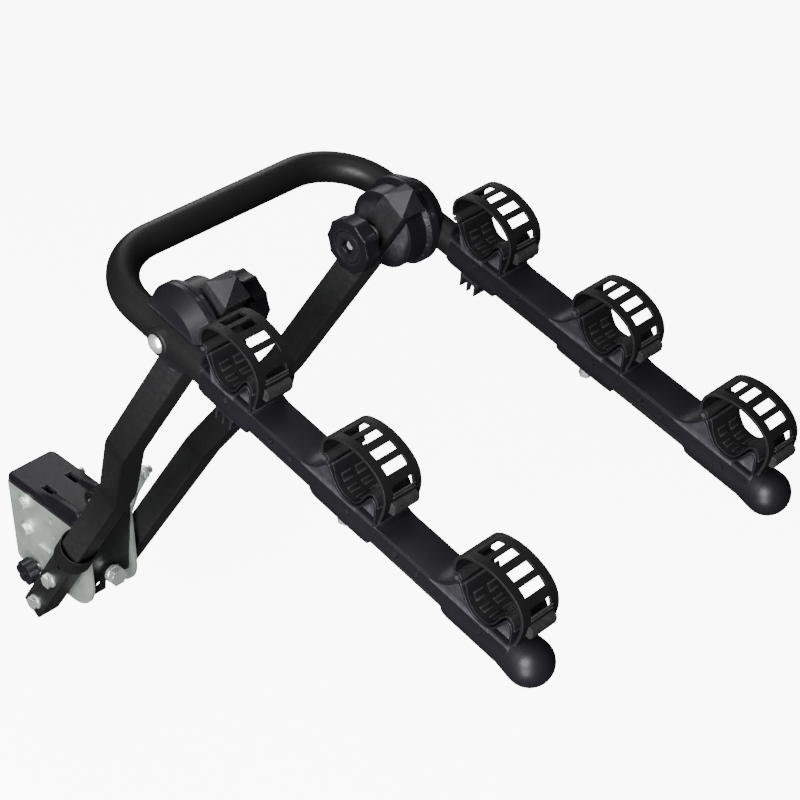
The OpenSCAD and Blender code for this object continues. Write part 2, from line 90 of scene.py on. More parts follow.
# Outlines of one cradle in the arm frame, as (y, z) from the cradle's place on the tube
BEAD = (33.0, 48.5)
CUP_LINE = [(29.5, 42.5), (25.5, 37.5), (20, 31), (12.6, 24.4), (3.7, 22), (-7, 23.4),
            (-14, 30), (-21, 44), (-25, 46.5), (-28.5, 43), (-30.5, 33), (-31.5, 23)]
RAMP_LINE = [(62, 19.3), (52, 22), (44.5, 27), (38.5, 34), (34, 40)]
LIP_LINE = [(29.5, 41.5), (33, 38), (35.2, 31), (36.5, 20.5)]
BEAD_ARM = [(28.0, 40.2), (30.0, 43.0), (31.9, 46.4)]
LINER_LINE = [(25.5, 48), (22.5, 43), (18.8, 35.5), (11.2, 27.7), (3.6, 25.6), (-5.4, 26.8),
              (-11.4, 33), (-18.5, 48), (-24, 52), (-29, 49), (-32, 43)]
STRAP_LINE = [(37.2, 49.8), (39, 60), (36.5, 69.5), (28.5, 77), (16, 81.6), (3, 83.2),
              (-10.5, 81.6), (-23.5, 77), (-33, 69), (-38, 58), (-38.8, 46), (-37, 31)]
STRAP_CENTRE = (2, 46)
GRIP = [(-39.5, 41.4), (-44.5, 42.2), (-46.2, 44.4), (-46.4, 49), (-45.2, 52.4), (-42.5, 53.6),
        (-39.5, 53.8)]
LEDGES = [(-39.3, 62.5), (-39.9, 59.0)]

# Windows of a strap: their angles round its middle, half width and length
WINDOWS = [58, 82, 106, 130, 154]
WINDOW_HALF = 12.0
WINDOW_LEN = 9.2

# The frames of the arms and of the side tubes, from millimetres to metres
HUB = Vector(JOINTS["arms_fold"]["pos_m"])
ARM = Matrix.Translation(HUB) @ Matrix.Rotation(DROOP, 4, "X") @ Matrix.Scale(MM, 4)
SIDE = Matrix.Translation(HUB) @ Matrix.Rotation(LEAN, 4, "X") @ Matrix.Scale(MM, 4)
X_AXIS = Vector((1, 0, 0))
Y_AXIS = Vector((0, 1, 0))
Z_AXIS = Vector((0, 0, 1))
XY = (X_AXIS, Y_AXIS, Z_AXIS)
YZ = (Y_AXIS, Z_AXIS, X_AXIS)
XZ = (X_AXIS, Z_AXIS, -Y_AXIS)
SIDES = [("left", -1), ("right", 1)]


# ---------- materials ----------

class Nodes:
    """A small wrapper that makes and links shader nodes."""

    def __init__(self, name):
        self.material = bpy.data.materials.new(name)
        self.material.use_nodes = True
        self.tree = self.material.node_tree
        self.shader = self.tree.nodes["Principled BSDF"]

    def add(self, kind, inputs=(), **settings):
        """Makes a node. An input is either a number or colour, or a socket to link."""
        node = self.tree.nodes.new(kind)
        for key, value in settings.items():
            setattr(node, key, value)
        for key, value in dict(inputs).items():
            if isinstance(value, bpy.types.NodeSocket):
                self.tree.links.new(value, node.inputs[key])
            else:
                node.inputs[key].default_value = value
        return node

    def link(self, socket, key):
        self.tree.links.new(socket, self.shader.inputs[key])

    def noise(self, scale, detail=2.0, distortion=0.0):
        where = self.add("ShaderNodeTexCoord").outputs["Object"]
        made = self.add("ShaderNodeTexNoise", {"Vector": where, "Scale": scale, "Detail": detail,
                                               "Distortion": distortion})
        return made.outputs["Fac"]

    def ramp(self, value, low, high, start, end):
        """Maps start to end onto low to high."""
        made = self.add("ShaderNodeMapRange", {"Value": value, "From Min": start, "From Max": end,
                                               "To Min": low, "To Max": high})
        return made.outputs["Result"]

    def mix(self, factor, a, b):
        """Blends from colour a to colour b as the factor goes from 0 to 1."""
        made = self.add("ShaderNodeMix", data_type="RGBA")
        self.tree.links.new(factor, made.inputs["Factor"])
        for key, value in (("A", a), ("B", b)):
            socket = [s for s in made.inputs if s.name == key and s.type == "RGBA"][0]
            if isinstance(value, bpy.types.NodeSocket):
                self.tree.links.new(value, socket)
            else:
                socket.default_value = (*value, 1)
        return [s for s in made.outputs if s.type == "RGBA"][0]

    def bump(self, value, strength, distance, below=None):
        """A bump on top of the one given as below."""
        inputs = {"Height": value, "Strength": strength, "Distance": distance}
        if below is not None:
            inputs["Normal"] = below
        return self.add("ShaderNodeBump", inputs).outputs["Normal"]

    def edges(self, start, end):
        """1 on sharp outer edges, where paint wears and where a highlight is painted, and 0 on flat faces."""
        pointy = self.add("ShaderNodeNewGeometry").outputs["Pointiness"]
        return self.ramp(pointy, 0.0, 1.0, start, end)


def coated(name, dark, light, rough, grain, edge_wear_and_highlight_colour, specular):
    """A painted or moulded surface: cloudy colour, fine grain bump, and lighter edges that are partly wear and
    partly a painted highlight.
    """
    n = Nodes(name)
    cloud = n.noise(14.0, 4.0, 0.4)
    colour = n.mix(n.ramp(cloud, 0.0, 1.0, 0.35, 0.65), dark, light)
    patches = n.ramp(n.noise(160.0, 3.0), 0.55, 1.0, 0.4, 0.7)
    # Sharp edges get a lighter colour: partly wear, partly a painted highlight standing in for the glints along
    # the edges.
    edge_wear_and_highlight_mask = n.add("ShaderNodeMath", {0: n.edges(0.53, 0.62), 1: patches},
                      operation="MULTIPLY").outputs[0]
    n.link(n.mix(edge_wear_and_highlight_mask, colour, edge_wear_and_highlight_colour), "Base Color")
    scale, strength, depth = grain
    fine = n.noise(scale, 3.0)
    coarse = n.noise(scale * 0.22, 2.0)
    n.link(n.ramp(coarse, rough[0], rough[1], 0.3, 0.7), "Roughness")
    first = n.bump(fine, strength, depth)
    n.link(n.bump(coarse, strength * 0.5, depth * 2.0, first), "Normal")
    n.shader.inputs["Specular IOR Level"].default_value = specular
    return n.material


def plated(name, dark, light, rough, scale):
    """Zinc plating: cloudy spangle in colour and gloss, with faint scratches."""
    n = Nodes(name)
    cloud = n.noise(scale, 5.0, 0.8)
    where = n.add("ShaderNodeTexCoord").outputs["Object"]
    stretched = n.add("ShaderNodeMapping", {"Vector": where, "Scale": (40.0, 900.0, 60.0)})
    scratch = n.add("ShaderNodeTexNoise", {"Vector": stretched.outputs[0], "Scale": 1.0,
                                           "Detail": 3.0}).outputs["Fac"]
    cells = n.add("ShaderNodeTexVoronoi", {"Vector": where, "Scale": scale * 3.2}).outputs["Distance"]
    colour = n.mix(n.ramp(cloud, 0.0, 1.0, 0.35, 0.65), dark, light)
    tint = n.mix(n.ramp(cells, 0.0, 0.35, 0.1, 0.8), colour, tuple(c * 0.86 for c in dark))
    n.link(tint, "Base Color")
    n.link(n.ramp(cloud, rough[0], rough[1], 0.3, 0.7), "Roughness")
    first = n.bump(scratch, 0.08, 0.0002)
    n.link(n.bump(n.noise(420.0, 2.0), 0.06, 0.0003, first), "Normal")
    n.shader.inputs["Metallic"].default_value = 0.85
    return n.material


MATERIALS = {
    "black_steel": coated("powder_coat", (0.0040, 0.0040, 0.0042), (0.0046, 0.0046, 0.0048),
                          (0.40, 0.48), (1500.0, 0.14, 0.00022), (0.020, 0.020, 0.021),
                          specular=0.14),
    "black_plastic": coated("moulded_plastic", (0.0042, 0.0039, 0.0054), (0.0050, 0.0047, 0.0063),
                            (0.38, 0.46), (2400.0, 0.10, 0.00016), (0.034, 0.033, 0.038),
                            specular=0.16),
    "rubber": coated("strap_rubber", (0.0036, 0.0036, 0.0040), (0.0044, 0.0044, 0.0048), (0.46, 0.58),
                     (1900.0, 0.12, 0.0002), (0.040, 0.040, 0.041), specular=0.10),
    "zinc_plate": plated("zinc_sheet", (0.66, 0.75, 0.68), (0.74, 0.83, 0.76), (0.32, 0.42), 26.0),
    "zinc_bolt": plated("zinc_bright", (0.72, 0.78, 0.74), (0.80, 0.86, 0.82), (0.22, 0.30), 40.0),
}


# ---------- mesh helpers ----------

def smooth(points, steps):
    """Catmull-Rom curve through 2D points, with the given steps between neighbours."""
    p = [Vector(q) for q in points]
    p = [2 * p[0] - p[1], *p, 2 * p[-1] - p[-2]]
    line = []
    for i in range(1, len(p) - 2):
        for k in range(steps):
            t = k / steps
            a, b, c, d = p[i - 1], p[i], p[i + 1], p[i + 2]
            line.append(0.5 * (2 * b + (c - a) * t + (2 * a - 5 * b + 4 * c - d) * t * t
                               + (3 * b - 3 * c + d - a) * t ** 3))
    line.append(p[-2])
    return line


def fillet(points, radius, steps=6):
    """The 2D line with each inner corner rounded."""
    p = [Vector(q) for q in points]
    line = [p[0]]
    for a, b, c in zip(p, p[1:], p[2:]):
        u, v = (a - b).normalized(), (c - b).normalized()
        half = math.acos(max(-1, min(1, u.dot(v)))) / 2
        cut = radius / math.tan(half)
        centre = b + (u + v).normalized() * (radius / math.sin(half))
        start, end = b + u * cut - centre, b + v * cut - centre
        turn = math.atan2(start.x * end.y - start.y * end.x, start.dot(end))
        for k in range(steps + 1):
            t = turn * k / steps
            line.append(centre + Vector((start.x * math.cos(t) - start.y * math.sin(t),
                                         start.x * math.sin(t) + start.y * math.cos(t))))
    line.append(p[-1])
    return line


def step(t):
    """Smooth rise from 0 to 1 as t goes from 0 to 1."""
    t = max(0.0, min(1.0, t))
    return t * t * (3 - 2 * t)


def mitres(line):
    """For each point of a 2D line, the offset that moves it by one to its left."""
    made = []
    for i in range(len(line)):
        before = line[i] - line[i - 1] if i else line[1] - line[0]
        after = line[i + 1] - line[i] if i < len(line) - 1 else before
        n1 = Vector((-before.y, before.x)).normalized()
        n2 = Vector((-after.y, after.x)).normalized()
        both = n1 + n2
        made.append(both * 2 / both.dot(both))
    return made


def sweep(bm, line, profile, axes, origin=Vector((0, 0, 0)), cap=True):
    """Sweeps a closed profile along a 2D line. axes are the line's two directions and the plane's
    normal. profile is a list of (offset in the plane, offset along the normal), or a function of i."""
    rings = []
    for i, (p, m) in enumerate(zip(line, mitres(line))):
        shape = profile(i) if callable(profile) else profile
        rings.append([bm.verts.new(origin + axes[0] * (p.x + m.x * a) + axes[1] * (p.y + m.y * a)
                                   + axes[2] * b) for a, b in shape])
    loft(bm, rings, cap)


def loft(bm, rings, cap=True):
    """Joins rings of vertices with the same count into a skin, closed at both ends if cap."""
    for low, high in zip(rings, rings[1:]):
        for k in range(len(low)):
            j = (k + 1) % len(low)
            bm.faces.new((low[k], low[j], high[j], high[k]))
    if cap:
        bm.faces.new(rings[0][::-1])
        bm.faces.new(rings[-1])


def circle(r, n):
    """Closed outline of a circle with n points."""
    return [(r * math.cos(2 * math.pi * k / n), r * math.sin(2 * math.pi * k / n)) for k in range(n)]


def rounded(half_a, half_b, r, n=4):
    """Closed outline of a rectangle with rounded corners."""
    made = []
    for sa, sb, start in ((1, 1, 0), (-1, 1, 90), (-1, -1, 180), (1, -1, 270)):
        for k in range(n + 1):
            t = math.radians(start + 90 * k / n)
            made.append((sa * (half_a - r) + r * math.cos(t), sb * (half_b - r) + r * math.sin(t)))
    return made


def revolve(bm, profile, n=64, centre=Vector((0, 0, 0))):
    """Turns (x, r) points about the X axis through centre. A point with r of 0 closes the end."""
    rings = []
    for x, r in profile:
        if r < 1e-6:
            rings.append([bm.verts.new(centre + X_AXIS * x)])
        else:
            rings.append([bm.verts.new(centre + Vector((x, r * math.cos(2 * math.pi * k / n),
                                                        r * math.sin(2 * math.pi * k / n))))
                          for k in range(n)])
    for low, high in zip(rings, rings[1:]):
        for k in range(n):
            j = (k + 1) % n
            corners = [low[k % len(low)], low[j % len(low)], high[j % len(high)], high[k % len(high)]]
            corners = list(dict.fromkeys(corners))
            if len(corners) > 2:
                bm.faces.new(corners)


def prism(bm, outline, axes, b0, b1):
    """A 2D outline in the plane of axes, extruded along its normal from b0 to b1."""
    rings = [[bm.verts.new(axes[0] * p[0] + axes[1] * p[1] + axes[2] * b) for p in outline]
             for b in (b0, b1)]
    loft(bm, rings)


def piece(name, bm, matrix, body, slot, nodes, angle, bevel=0.0, mirror=False):
    """Makes a finished piece from a bmesh in a local frame, and gives it to its CAD body."""
    bmesh.ops.transform(bm, matrix=matrix, verts=bm.verts)
    if mirror:
        bmesh.ops.scale(bm, vec=(-1, 1, 1), verts=bm.verts)
    bmesh.ops.recalc_face_normals(bm, faces=bm.faces)
    mesh = bpy.data.meshes.new(name)
    bm.to_mesh(mesh)
    bm.free()
    return dress(bpy.data.objects.new(name, mesh), body, slot, nodes, bevel, angle)


def dress(thing, body, slot, nodes, bevel, angle):
    """Gives an object the material of its slot, rounded or sharp edges and its body, and hides the CAD nodes it
    stands for.
    """
    mesh = thing.data
    mesh.materials.clear()
    mesh.materials.append(MATERIALS[slot])
    bpy.context.scene.collection.objects.link(thing)
    mesh.shade_smooth()
    if bevel:
        made = thing.modifiers.new("rounded_edges", "BEVEL")
        made.width = bevel * MM
        made.segments = 2
        made.limit_method = "ANGLE"
        made.angle_limit = math.radians(angle)
        made.harden_normals = True
        made.use_clamp_overlap = True
    else:
        mesh.set_sharp_from_angle(angle=math.radians(angle))
    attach(thing, body)
    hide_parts(*nodes)
    return thing


BODY_OF = {n: b for b, ns in frame["record"]["behaviour"]["bodies"].items() for n in ns}
SLOT_OF = {s["node"]: s["material_slot"] for s in frame["record"]["subparts"]}


def refine(node, bevel, big=0.0, chosen=None):
    """The CAD node's own shape with its edges rounded and its flat faces cleaned. The edges that
    chosen picks get a bigger rounding first."""
    bm = bmesh.new()
    bm.from_mesh(frame["nodes"][node].data)
    bmesh.ops.remove_doubles(bm, verts=bm.verts, dist=2e-6)
    bmesh.ops.dissolve_limit(bm, angle_limit=math.radians(0.4), verts=bm.verts, edges=bm.edges)
    if chosen:
        weight = bm.edges.layers.float.new("bevel_weight_edge")
        for edge in bm.edges:
            if all(chosen(v.co) for v in edge.verts):
                edge[weight] = 1.0
    mesh = bpy.data.meshes.new(node + "_finished")
    bm.to_mesh(mesh)
    bm.free()
    if mesh.has_custom_normals:
        mesh.attributes.remove(mesh.attributes["custom_normal"])
    thing = bpy.data.objects.new(node + "_finished", mesh)
    if big:
        made = thing.modifiers.new("large_rounding", "BEVEL")
        made.width = big * MM
        made.segments = 7
        made.limit_method = "WEIGHT"
    return dress(thing, BODY_OF[node], SLOT_OF[node], [node], bevel, 32)


# ---------- tubes ----------

def u_tube():
    """The bent round tube, with a short boss on the outside of each hub."""
    bm = bmesh.new()
    corners = [(-ARM_X, -ARM_LEN), (-ARM_X, CROSSBAR_Y), (ARM_X, CROSSBAR_Y), (ARM_X, -ARM_LEN)]
    line = fillet(corners, BEND_R, 24)
    sweep(bm, line, circle(TUBE_R, 56), XY)
    for s in (-1, 1):
        boss = [(ARM_X + 6, 0), (ARM_X + 6, 14), (174.2, 14), (175.6, 13.4), (176.3, 12.2), (176.3, 0)]
        revolve(bm, [(s * x, r) for x, r in boss], 48)
    piece("u_tube_finished", bm, ARM, "arms", "black_steel", ["u_tube"], angle=40)


def side_tube(name, s, bottom):
    """A square tube with its jog bent round, open at the bottom."""
    bm = bmesh.new()
    line = fillet([(SIDE_X_TOP, TUBE_TOP), (SIDE_X_TOP, -JOG_START), (SIDE_X_LOW, -JOG_END),
                   (SIDE_X_LOW, -bottom)], TUBE_BEND, 14)
    outer = rounded(SIDE_W / 2, SIDE_D / 2, 2.6, 5)
    inner = rounded(SIDE_W / 2 - WALL, SIDE_D / 2 - WALL, 1.2, 5)
    sweep(bm, line, outer, XZ, cap=False)
    sweep(bm, line, inner, XZ, cap=False)
    for z in (TUBE_TOP, -bottom):
        rim = [v for v in bm.verts if abs(v.co.z - z) < 1e-4]
        half = len(rim) // 2
        for k in range(half):
            j = (k + 1) % half
            bm.faces.new((rim[k], rim[j], rim[half + j], rim[half + k]))
    piece(f"side_tube_{name}_finished", bm, SIDE, "frame", "black_steel", [f"side_tube_{name}"],
          angle=40, mirror=s < 0)


# ---------- bracket cover ----------

COVER_HALF = 36.5
COVER_Y = (-66.0, 79.0)
COVER_TOP = 59.8
COVER_FOOT = 49.3
COVER_CORNER = 9.0
COVER_ROUND = 5.0
COVER_WALL = 1.6
RIB_X = 24
RIB_HALF = 8
RIB_RISE = 8
RIB_START_Y = 24
RIB_RUN = 66
SLOT_X = (13.0, 23.0)
SLOT_Y = (0.0, 23.0)
LUG_X = (30.7, 35.3)
LUG_Y = -44.0


def cover_height(x, y):
    """Top of the cover: rounded toward its outline, with two ribs that rise toward the front."""
    middle, half = sum(COVER_Y) / 2, (COVER_Y[1] - COVER_Y[0]) / 2
    qx = abs(x) - COVER_HALF + COVER_CORNER
    qy = abs(y - middle) - half + COVER_CORNER
    inside = COVER_CORNER - (math.hypot(qx, qy) if qx > 0 and qy > 0 else max(qx, qy))
    drop = COVER_ROUND - min(max(inside, 0), COVER_ROUND)
    edge = COVER_TOP - COVER_ROUND + math.sqrt(COVER_ROUND ** 2 - drop ** 2)
    along = step((RIB_START_Y - y) / RIB_RUN) * step((y - COVER_Y[0] - 1) / 6)
    across = step((RIB_HALF - abs(abs(x) - RIB_X)) / 5)
    return edge + RIB_RISE * along * across


def cover_lines():
    """The x and y of the cover's grid lines, closer together at its rim and over its ribs."""
    rim = [0, 0.25, 0.8, 1.7, 3.0, 5.0]
    over_ribs = [32, 29.5, 28.3, 27.2, 26, 24, 22, 21, 20, 19, 18, 17, 16, 10, 6, 2]
    xs = [COVER_HALF - d for d in rim] + over_ribs + [*LUG_X, *SLOT_X]
    ys = [COVER_Y[0] + d for d in rim] + [COVER_Y[1] - d for d in rim] + [*SLOT_Y, LUG_Y]
    ys += range(-58, 74, 3)
    return sorted({round(s * x, 3) for x in xs for s in (-1, 1)}), sorted({round(y, 3) for y in ys})


def bracket_cover():
    """The moulded lid: a sheet over the grid with its slots left out, skirts and a wall."""
    xs, ys = cover_lines()
    bm = bmesh.new()
    grid = {}
    for x in xs:
        over = max(0, abs(x) - COVER_HALF + COVER_CORNER)
        cut = COVER_CORNER - math.sqrt(max(0, COVER_CORNER ** 2 - over ** 2))
        for y in ys:
            yy = min(max(y, COVER_Y[0] + cut), COVER_Y[1] - cut)
            grid[x, y] = bm.verts.new((x, yy, cover_height(x, yy)))
    for x0, x1 in zip(xs, xs[1:]):
        for y0, y1 in zip(ys, ys[1:]):
            x, y = (x0 + x1) / 2, (y0 + y1) / 2
            slot = SLOT_X[0] < abs(x) < SLOT_X[1] and SLOT_Y[0] < y < SLOT_Y[1]
            lug = LUG_X[0] < x < LUG_X[1] and y < LUG_Y
            if not slot and not lug:
                bm.faces.new((grid[x0, y0], grid[x1, y0], grid[x1, y1], grid[x0, y1]))
    bmesh.ops.remove_doubles(bm, verts=bm.verts, dist=0.01)
    bmesh.ops.dissolve_degenerate(bm, edges=bm.edges, dist=0.01)
    loose = [v for v in bm.verts if not v.link_faces]
    bmesh.ops.delete(bm, geom=loose, context="VERTS")
    border = [e for e in bm.edges if e.is_boundary]
    walls = bmesh.ops.extrude_edge_only(bm, edges=border)
    for v in walls["geom"]:
        if isinstance(v, bmesh.types.BMVert):
            v.co.z = COVER_FOOT
    thing = piece("bracket_cover_finished", bm, Matrix.Scale(MM, 4), "frame", "black_plastic",
                  ["bracket_cover"], angle=42)
    shell = thing.modifiers.new("wall", "SOLIDIFY")
    shell.thickness = COVER_WALL * MM
    shell.offset = -1


# ---------- rails ----------

def boot_share(d):
    """How far the moulding wraps round the tube at distance d from the pivot, 0 to 1."""
    share = 0.0
    for near, far in BOOTS:
        share = max(share, min(step((d - near + 9) / 12), step((far + 9 - d) / 18)))
    return share


def spine_ring(d):
    """Cross-section of the rail under its top plate, as (x, z), at distance d from the pivot."""
    n = 72
    side = 84  # degrees from the top at which the flank ends
    share = boot_share(d)
    wrap = side + 100 * share
    ring = []
    for k in range(n):
        angle = 360 * (k + 0.5) / n
        turn = min(angle, 360 - angle)
        t = math.radians(turn)
        if turn < side:
            r = min(SPINE_TOP / max(math.cos(t), 1e-3), SPINE_HALF / max(math.sin(t), 1e-3))
            r = min(r, SPINE_CORNER)
        else:
            r = SPINE_HALF / math.sin(math.radians(side))
        r = r + (BOOT_R - SPINE_HALF) * step((turn - 60) / 30) * share
        if turn >= side:
            r += (SPINE_UNDER_R - r) * step((turn - wrap) / 9)
        ring.append((r * math.sin(math.radians(angle)), r * math.cos(math.radians(angle))))
    return ring


def rail(name, s):
    """A cradle rail: a spine on the tube, the top plate that dips into the three cups, and their
    webs, strap beads and bead arms."""
    bm = bmesh.new()
    start = FIRST_Y - 36.5
    end = FIRST_Y + 2 * PITCH + 31
    steps = 230
    rings = []
    for k in range(steps + 1):
        d = start + (end - start) * k / steps
        rings.append([bm.verts.new((ARM_X + drilled(x, d, z), -d, z)) for x, z in spine_ring(d)])
    loft(bm, rings)
    plate = []
    for i in range(3):
        y = -FIRST_Y - i * PITCH
        if i:
            plate += [Vector((y + p[0], p[1])) for p in RAMP_LINE]
        plate += [Vector((y + p[0], p[1])) for p in CUP_LINE]
        if i < 2:
            plate += [Vector((y - 33.5, 19.3)), Vector((y - 60, 19.3)), Vector((y - 80, 19.3))]
    line = smooth(plate, 4)

    def section(i):
        p = line[i]
        near = min(abs(p.x + FIRST_Y + j * PITCH - 2) for j in range(3))
        half = RAIL_W / 2 + 1.5 * step((46 - near) / 14)
        return rounded(RIBBON_T / 2, half, 0.7, 3)

    sweep(bm, line, section, YZ, X_AXIS * ARM_X)
    for i in range(3):
        y = -FIRST_Y - i * PITCH
        cup_web(bm, y, i > 0)
        at = Vector((ARM_X, y, 0))
        if i == 0:
            sweep(bm, smooth(LIP_LINE, 4), rounded(RIBBON_T / 2, RAIL_W / 2, 0.7, 3), YZ, at)
        sweep(bm, smooth(BEAD_ARM, 3), rounded(1.2, STRAP_W / 2 - 1, 0.7, 3), YZ, at)
        bead = [Vector((ARM_X + k * (STRAP_W / 2 + 0.9), 0)) for k in (-1, 1)]
        sweep(bm, bead, circle(2.2, 20), XY, Vector((0, y + BEAD[0], BEAD[1])))
    piece(f"rail_{name}_finished", bm, ARM, "arms", "black_plastic", [f"rail_{name}"], angle=38,
          mirror=s < 0)


def cup_web(bm, y, ramped):
    """The wall under a cup: wide under the hollow, thin under the hump behind it."""
    cup = [(p.x, p.y - 0.8) for p in smooth(CUP_LINE, 4)]
    ramp = [(p.x, p.y - 0.8) for p in smooth(RAMP_LINE + [CUP_LINE[0]], 4)[:-1]] if ramped else []
    split = -9
    front = [p for p in cup if p[0] > split]
    back = [p for p in cup if p[0] <= split]
    first = (60, 14) if ramped else (20, 14)
    wide = ramp + front + [(split, 14), first]
    thin = back + [(-31, 14), (split, 14)]
    for outline, half in ((wide, WEB_HALF), (thin, HUMP_HALF)):
        prism(bm, [(y + a, b) for a, b in outline], YZ, ARM_X - half, ARM_X + half)


def drilled(x, d, z):
    """The flank's x at distance d and height z, sunk where one of its small blind holes is."""
    for i in range(3):
        for beyond in HOLES:
            if i == 2 and beyond:
                continue
            if math.hypot(d - FIRST_Y - i * PITCH - beyond, z - HOLE_Z) < HOLE_R:
                return x - math.copysign(HOLE_DEPTH, x)
    return x


def end_caps():
    """The closed tips of the arms, flared smoothly from the moulding to a round bulb."""
    bm = bmesh.new()
    neck = smooth([(430, 19.0), (438, 19.3), (446, 20.2), (454, 21.4), (ARM_LEN + 0.6, BULB_R)], 4)
    profile = [(430, 16.2)] + [(p.x, p.y) for p in neck]
    for k in range(1, 19):
        t = math.radians(90 * k / 18)
        profile.append((ARM_LEN + 0.6 + BULB_R * math.sin(t), BULB_R * math.cos(t) if k < 18 else 0))
    for x in (-ARM_X, ARM_X):
        revolve(bm, profile, 72, Vector((0, x, 0)))
    turn = Matrix.Rotation(math.radians(-90), 4, "Z")
    piece("end_caps_finished", bm, ARM @ turn, "arms", "black_plastic", ["end_caps"], angle=50)


def liners(name, s):
    """The three soft liners of a rail, each with two rows of small pads on it."""
    bm = bmesh.new()
    line = smooth(LINER_LINE, 5)
    offsets = mitres(line)
    for i in range(3):
        at = Vector((ARM_X, -FIRST_Y - i * PITCH, 0))
        sweep(bm, line, rounded(LINER_T / 2, STRAP_W / 2 - 1.5, 0.6, 3), YZ, at)
        for j in (9, 16, 23, 30):
            stretch = [p + m * (LINER_T / 2 + 0.1) * (1 if m.y > 0 else -1)
                       for p, m in zip(line[j:j + 5], offsets[j:j + 5])]
            for x in (-8, 8):
                sweep(bm, stretch, rounded(0.35, 5.5, 0.3, 3), YZ, at + X_AXIS * x)
    piece(f"liners_{name}_finished", bm, ARM, "arms", "rubber", [f"liners_{name}"], angle=40,
          mirror=s < 0)


# ---------- straps ----------

def lengths_along(line):
    """The length along the line at each of its points."""
    lengths = [0.0]
    for a, b in zip(line, line[1:]):
        lengths.append(lengths[-1] + (b - a).length)
    return lengths


def resample(line, stops):
    """Points on the line at the given lengths along it."""
    lengths = lengths_along(line)
    made = []
    i = 0
    for s in stops:
        while i < len(lengths) - 2 and lengths[i + 1] < s:
            i += 1
        t = (s - lengths[i]) / (lengths[i + 1] - lengths[i])
        made.append(line[i].lerp(line[i + 1], t))
    return made


def strap_stops(line):
    """Lengths along the strap for its grid, and which stretches are windows."""
    lengths = lengths_along(line)
    centre = Vector(STRAP_CENTRE)
    spans = []
    for angle in WINDOWS:
        ray = Vector((math.cos(math.radians(angle)), math.sin(math.radians(angle))))
        best = max(range(len(line)), key=lambda k: (line[k] - centre).normalized().dot(ray))
        spans.append((lengths[best] - WINDOW_LEN / 2, lengths[best] + WINDOW_LEN / 2))
    marks = sorted({0.0, lengths[-1], *[x for span in spans for x in span]})
    stops = []
    for a, b in zip(marks, marks[1:]):
        parts = max(2, round((b - a) / 2.4))
        stops += [a + (b - a) * k / parts for k in range(parts)]
    stops.append(lengths[-1])
    return stops, spans


def outward(p, m):
    """1 where the offset m points away from the middle of the strap, or else -1."""
    return 1 if m.dot(p - Vector(STRAP_CENTRE)) > 0 else -1


def ladder(bm, points, offsets, stops, spans, y):
    """The strap's sheet: two layers of a grid, joined round its outline and round each window."""
    half = STRAP_W / 2
    columns = [-half, -half + 4.5, -WINDOW_HALF, -6, 0, 6, WINDOW_HALF, half - 4.5, half]
    layers = []
    for side in (-STRAP_T / 2, STRAP_T / 2):
        layers.append([[bm.verts.new((ARM_X + x, y + p.x + m.x * side, p.y + m.y * side))
                        for x in columns] for p, m in zip(points, offsets)])
    solid = {}
    for i in range(len(points) - 1):
        middle = (stops[i] + stops[i + 1]) / 2
        in_span = any(a < middle < b for a, b in spans)
        for j in range(len(columns) - 1):
            across = abs(columns[j] + columns[j + 1]) / 2
            solid[i, j] = not (in_span and across < WINDOW_HALF)
    neighbours = {(-1, 0): ((0, 0), (0, 1)), (1, 0): ((1, 1), (1, 0)),
                  (0, -1): ((1, 0), (0, 0)), (0, 1): ((0, 1), (1, 1))}
    for (i, j), filled in solid.items():
        if not filled:
            continue
        for grid, flip in ((layers[0], True), (layers[1], False)):
            corners = [grid[i][j], grid[i][j + 1], grid[i + 1][j + 1], grid[i + 1][j]]
            bm.faces.new(corners[::-1] if flip else corners)
        for (di, dj), (a, b) in neighbours.items():
            if not solid.get((i + di, j + dj), False):
                p0 = [g[i + a[0]][j + a[1]] for g in layers]
                p1 = [g[i + b[0]][j + b[1]] for g in layers]
                bm.faces.new((p0[0], p1[0], p1[1], p0[1]))


def strap(name, s, index):
    """A ladder strap: its sheet, the hook over the bead, a raised tab, two ledges and a grip."""
    bm = bmesh.new()
    line = smooth(STRAP_LINE, 8)
    stops, spans = strap_stops(line)
    points = resample(line, stops)
    offsets = mitres(points)
    y = -FIRST_Y - (index - 1) * PITCH
    at = Vector((ARM_X, y, 0))
    ladder(bm, points, offsets, stops, spans, y)
    hook_angles = [math.radians(t) for t in range(20, 201, 15)]
    hook = [Vector((BEAD[0] + HOOK_R * math.cos(t), BEAD[1] + HOOK_R * math.sin(t)))
            for t in hook_angles]
    sweep(bm, hook, rounded(1.1, STRAP_W / 2, 0.7, 3), YZ, at)
    tab = [p + m * (STRAP_T / 2 + 0.2) * outward(p, m) for p, m in zip(points[2:7], offsets[2:7])]
    sweep(bm, tab, rounded(0.7, 13, 0.5, 3), YZ, at)
    bar = [Vector((ARM_X - 13, 0)), Vector((ARM_X + 13, 0))]
    for a, b in LEDGES:
        sweep(bm, bar, circle(0.9, 12), XY, Vector((0, y + a, b)))
    prism(bm, [(y + a, b) for a, b in GRIP], YZ, ARM_X - GRIP_HALF, ARM_X + GRIP_HALF)
    node = f"strap_{name}_{index}"
    piece(node + "_finished", bm, ARM, node, "rubber", [node], bevel=0.5, angle=38, mirror=s < 0)


# ---------- CAD nodes that keep their shape ----------

